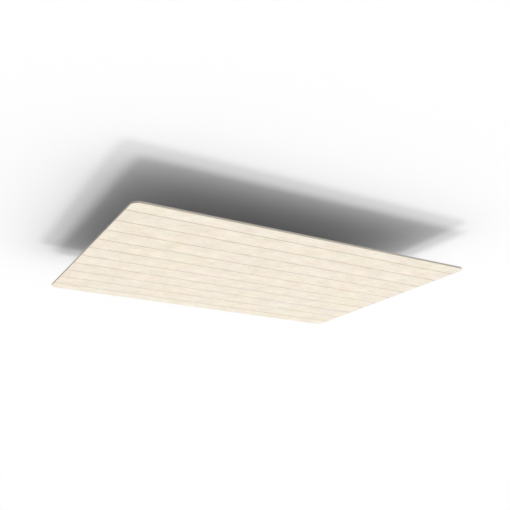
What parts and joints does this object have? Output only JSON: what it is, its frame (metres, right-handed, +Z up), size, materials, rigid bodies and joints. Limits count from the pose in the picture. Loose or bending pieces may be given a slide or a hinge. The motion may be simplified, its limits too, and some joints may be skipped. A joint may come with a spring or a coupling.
{
  "type": "ceiling panel",
  "caption": "Thin rectangular hung ceiling raft with rounded corners, a V-grooved pale wood-figured face, and threaded hanger plates on its back.",
  "frame": {"origin": "centre of the underside, the face that looks down into the room", "axes": "+X along the grooves and the long side, +Y across the grooves, +Z up towards the ceiling that it hangs from"},
  "size_m": [2.4, 1.8, 0.027],
  "materials": {
    "felt_board": "matt pressed felt with a printed pale birch face",
    "pressed_steel": "zinc plated, satin",
    "turned_steel": "zinc plated, turned",
    "screw_steel": "zinc plated, bright"
  },
  "bodies": {
    "root": {"board": "felt_board", "hanger_plate_1": "pressed_steel", "hanger_plate_2": "pressed_steel", "hanger_plate_3": "pressed_steel", "hanger_plate_4": "pressed_steel", "hanger_plate_5": "pressed_steel", "hanger_plate_6": "pressed_steel", "hanger_plate_7": "pressed_steel", "hanger_plate_8": "pressed_steel", "hanger_plate_9": "pressed_steel", "hanger_plate_10": "pressed_steel", "hanger_plate_11": "pressed_steel", "hanger_plate_12": "pressed_steel", "hanger_boss_1": "turned_steel", "hanger_boss_2": "turned_steel", "hanger_boss_3": "turned_steel", "hanger_boss_4": "turned_steel", "hanger_boss_5": "turned_steel", "hanger_boss_6": "turned_steel", "hanger_boss_7": "turned_steel", "hanger_boss_8": "turned_steel", "hanger_boss_9": "turned_steel", "hanger_boss_10": "turned_steel", "hanger_boss_11": "turned_steel", "hanger_boss_12": "turned_steel", "plate_screws": "screw_steel"}
  },
  "joints": []
}
